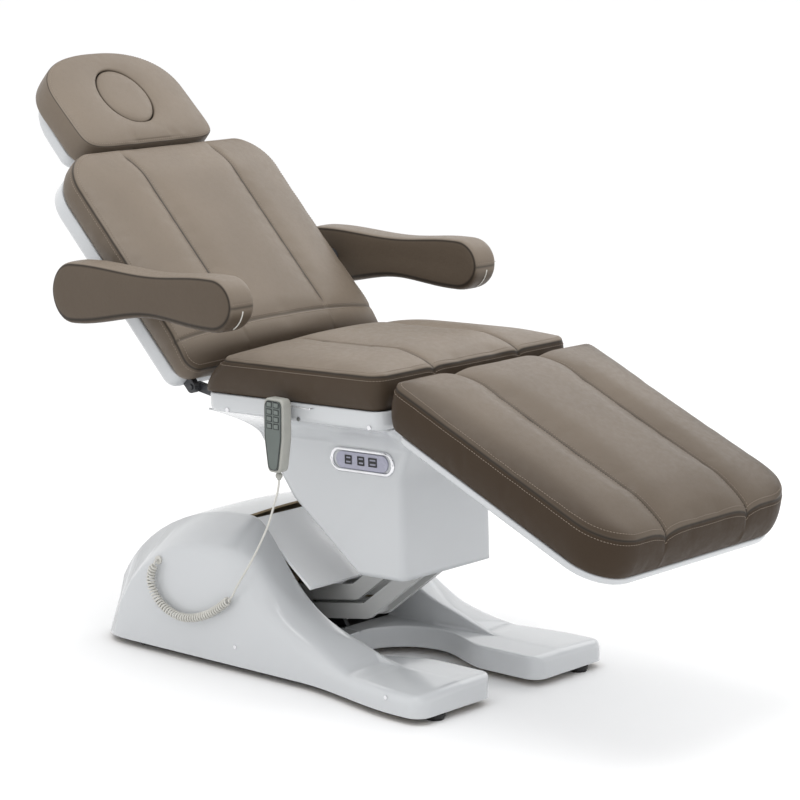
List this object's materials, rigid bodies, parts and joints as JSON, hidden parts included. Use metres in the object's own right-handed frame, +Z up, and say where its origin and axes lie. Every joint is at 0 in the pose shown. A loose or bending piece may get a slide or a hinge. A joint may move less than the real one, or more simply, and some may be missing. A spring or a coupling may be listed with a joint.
{
  "type": "facial_treatment_bed",
  "caption": "Motor-driven facial treatment bed with split taupe cushions, hinged headrest with face opening, armrests, handset on a curly cord and a white moulded base",
  "frame": {"origin": "on the floor, under the middle of the bed's length and width", "axes": "+X to the foot end, +Y to the left of a person lying on it, +Z up"},
  "size_m": [1.7002, 0.8, 1.199],
  "materials": {
    "white_shell": "glossy moulded shell",
    "taupe_leather": "soft upholstery with fine grain",
    "arm_leather": "soft upholstery with fine grain",
    "plug_leather": "soft upholstery with fine grain",
    "painted_frame": "black powder coat",
    "bright_steel": "turned steel",
    "screw_steel": "bright plated",
    "motor_black": "moulded housing",
    "box_tan": "moulded housing",
    "foot_rubber": "moulded rubber",
    "cord_plastic": "satin sheath",
    "handset_grey": "fine satin",
    "keypad_green": "fine satin",
    "key_grey": "silicone",
    "bezel_chrome": "bright plated",
    "insert_grey": "smooth"
  },
  "bodies": {
    "base": {"base_cover": "white_shell", "base_frame": "painted_frame", "foot_pads": "foot_rubber", "cover_screws": "screw_steel", "lift_motor": "motor_black", "control_box": "box_tan", "cord_grommet": "cord_plastic", "mains_gland": "motor_black", "base_pins": "bright_steel", "curly_cord": "cord_plastic", "cord_lead": "cord_plastic"},
    "lift_arm": {"lift_arms": "painted_frame", "slot_plate": "white_shell"},
    "lift_link": {"lift_links": "painted_frame"},
    "lift_rod": {"lift_rod": "bright_steel"},
    "carriage": {"carriage": "painted_frame", "carriage_pins": "bright_steel", "tilt_motor": "motor_black"},
    "tilt_rod": {"tilt_rod": "bright_steel"},
    "seat": {"seat_frame": "painted_frame", "seat_tray": "white_shell", "seat_shroud": "white_shell", "seat_cushion": "taupe_leather", "panel_bezel": "bezel_chrome", "panel_insert": "insert_grey", "bezel_screws": "screw_steel", "tray_screws": "screw_steel", "handset_hook": "screw_steel", "handset_shell": "handset_grey", "handset_keypad": "keypad_green", "back_motor": "motor_black", "leg_motor": "motor_black", "hinge_pins": "painted_frame"},
    "back_rod": {"back_rod": "bright_steel"},
    "leg_rod": {"leg_rod": "bright_steel"},
    "back": {"back_frame": "painted_frame", "back_tray": "white_shell", "back_cushion": "taupe_leather"},
    "head": {"head_frame": "painted_frame", "head_tray": "white_shell", "head_cushion": "taupe_leather"},
    "plug": {"face_plug": "plug_leather"},
    "arm_left": {"arm_pad_left": "arm_leather", "arm_stay_left": "painted_frame"},
    "arm_right": {"arm_pad_right": "arm_leather", "arm_stay_right": "painted_frame"},
    "leg": {"leg_frame": "painted_frame", "leg_tray": "white_shell", "leg_cushion": "taupe_leather"},
    "cord_end": {"cord_relief": "handset_grey"},
    "key_1": {"key_1": "key_grey"},
    "key_2": {"key_2": "key_grey"},
    "key_3": {"key_3": "key_grey"},
    "key_4": {"key_4": "key_grey"},
    "key_5": {"key_5": "key_grey"},
    "key_6": {"key_6": "key_grey"},
    "key_7": {"key_7": "key_grey"},
    "key_8": {"key_8": "key_grey"}
  },
  "joints": [
    {"name": "lift", "type": "hinge", "parent": "base", "child": "lift_arm", "pos_m": [-0.1994, 0, 0.12], "axis": [0, -1, 0], "range_deg": [-6, 36], "deforming": ["curly_cord", "cord_lead"]},
    {"name": "carriage_level", "type": "hinge", "parent": "lift_arm", "child": "carriage", "pos_m": [0.1496, 0, 0.275], "axis": [0, -1, 0], "range_deg": [-36, 6]},
    {"name": "link_swing", "type": "hinge", "parent": "base", "child": "lift_link", "pos_m": [-0.1694, 0, 0.085], "axis": [0, -1, 0], "range_deg": [-6, 36]},
    {"name": "lift_rod_slide", "type": "slide", "parent": "base", "child": "lift_rod", "axis": [-0.9638, 0, -0.2666], "range_m": [-0.0095, 0.053]},
    {"name": "seat_tilt", "type": "hinge", "parent": "carriage", "child": "seat", "pos_m": [0.0406, 0, 0.44], "axis": [0, -1, 0], "range_deg": [-2, 12]},
    {"name": "tilt_rod_slide", "type": "slide", "parent": "carriage", "child": "tilt_rod", "axis": [0, 0, 1], "range_m": [-0.0045, 0.0255]},
    {"name": "back_recline", "type": "hinge", "parent": "seat", "child": "back", "pos_m": [-0.25425, 0, 0.57379], "axis": [0, 1, 0], "range_deg": [-45.5, 18]},
    {"name": "back_rod_slide", "type": "slide", "parent": "seat", "child": "back_rod", "axis": [0.9994, 0, 0.0349], "range_m": [-0.0275, 0.0685]},
    {"name": "leg_raise", "type": "hinge", "parent": "seat", "child": "leg", "pos_m": [0.31538, 0, 0.56567], "axis": [0, -1, 0], "range_deg": [-46, 24]},
    {"name": "leg_rod_slide", "type": "slide", "parent": "seat", "child": "leg_rod", "axis": [0.9994, 0, 0.0349], "range_m": [-0.0525, 0.0275]},
    {"name": "head_tilt", "type": "hinge", "parent": "back", "child": "head", "pos_m": [-0.66373, 0, 0.97336], "axis": [0, 1, 0], "range_deg": [-35, 10]},
    {"name": "plug_lift", "type": "slide", "parent": "head", "child": "plug", "axis": [0.682, 0, 0.7314], "range_m": [0, 0.06]},
    {"name": "arm_left_swing", "type": "hinge", "parent": "back", "child": "arm_left", "pos_m": [-0.44284, 0, 0.76], "axis": [0, -1, 0], "range_deg": [-8, 95]},
    {"name": "arm_right_swing", "type": "hinge", "parent": "back", "child": "arm_right", "pos_m": [-0.44284, 0, 0.76], "axis": [0, -1, 0], "range_deg": [-8, 95]},
    {"name": "cord_swing", "type": "hinge", "parent": "base", "child": "cord_end", "pos_m": [-0.3044, -0.312, 0.2895], "axis": [0, -1, 0], "range_deg": [-6, 36]},
    {"name": "key_1_press", "type": "slide", "parent": "seat", "child": "key_1", "axis": [0, 1, 0], "range_m": [0, 0.001], "stiffness_N_per_m": 400, "springref_m": -0.001},
    {"name": "key_2_press", "type": "slide", "parent": "seat", "child": "key_2", "axis": [0, 1, 0], "range_m": [0, 0.001], "stiffness_N_per_m": 400, "springref_m": -0.001},
    {"name": "key_3_press", "type": "slide", "parent": "seat", "child": "key_3", "axis": [0, 1, 0], "range_m": [0, 0.001], "stiffness_N_per_m": 400, "springref_m": -0.001},
    {"name": "key_4_press", "type": "slide", "parent": "seat", "child": "key_4", "axis": [0, 1, 0], "range_m": [0, 0.001], "stiffness_N_per_m": 400, "springref_m": -0.001},
    {"name": "key_5_press", "type": "slide", "parent": "seat", "child": "key_5", "axis": [0, 1, 0], "range_m": [0, 0.001], "stiffness_N_per_m": 400, "springref_m": -0.001},
    {"name": "key_6_press", "type": "slide", "parent": "seat", "child": "key_6", "axis": [0, 1, 0], "range_m": [0, 0.001], "stiffness_N_per_m": 400, "springref_m": -0.001},
    {"name": "key_7_press", "type": "slide", "parent": "seat", "child": "key_7", "axis": [0, 1, 0], "range_m": [0, 0.001], "stiffness_N_per_m": 400, "springref_m": -0.001},
    {"name": "key_8_press", "type": "slide", "parent": "seat", "child": "key_8", "axis": [0, 1, 0], "range_m": [0, 0.001], "stiffness_N_per_m": 400, "springref_m": -0.001}
  ],
  "couplings": [
    {"joint": "carriage_level", "follows": "lift", "ratio": -1},
    {"joint": "link_swing", "follows": "lift", "ratio": 1},
    {"joint": "lift_rod_slide", "follows": "lift", "m_per_rad": 0.0832},
    {"joint": "tilt_rod_slide", "follows": "seat_tilt", "m_per_rad": 0.1195},
    {"joint": "back_rod_slide", "follows": "back_recline", "m_per_rad": -0.0854},
    {"joint": "leg_rod_slide", "follows": "leg_raise", "m_per_rad": 0.0642},
    {"joint": "cord_swing", "follows": "lift", "ratio": 1}
  ]
}
